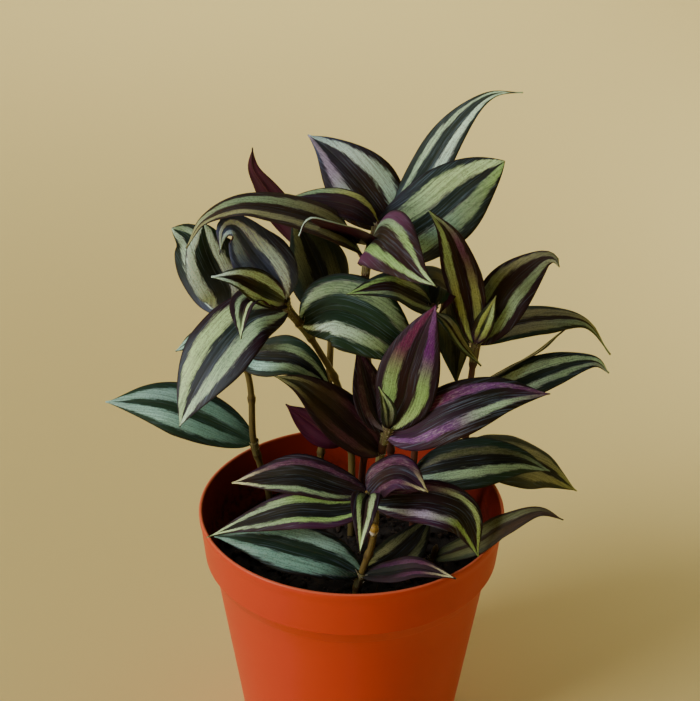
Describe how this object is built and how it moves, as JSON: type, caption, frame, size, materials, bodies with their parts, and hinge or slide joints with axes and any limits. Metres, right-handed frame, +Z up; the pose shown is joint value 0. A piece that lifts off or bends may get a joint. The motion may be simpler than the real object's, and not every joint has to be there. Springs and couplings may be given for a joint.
{
  "type": "potted tradescantia",
  "caption": "Striped purple and silver-green tradescantia house plant, its leafy shoots arching over a terracotta-coloured plastic nursery pot.",
  "frame": {"origin": "centre of the pot's flat underside, which stands on the surface", "axes": "+Z up along the pot's axis, -Y towards the side that the picture shows"},
  "size_m": [0.2024, 0.12, 0.2645],
  "materials": {
    "pot_plastic": "satin",
    "soil": "matte",
    "foliage": "satin"
  },
  "bodies": {
    "root": {"pot": "pot_plastic", "soil": "soil", "shoot_back_left": "foliage", "shoot_left": "foliage", "shoot_centre": "foliage", "shoot_tall": "foliage", "shoot_front": "foliage", "shoot_right": "foliage", "shoot_back_tall": "foliage", "shoot_right_middle": "foliage", "shoot_back": "foliage", "shoot_front_right": "foliage"}
  },
  "joints": []
}
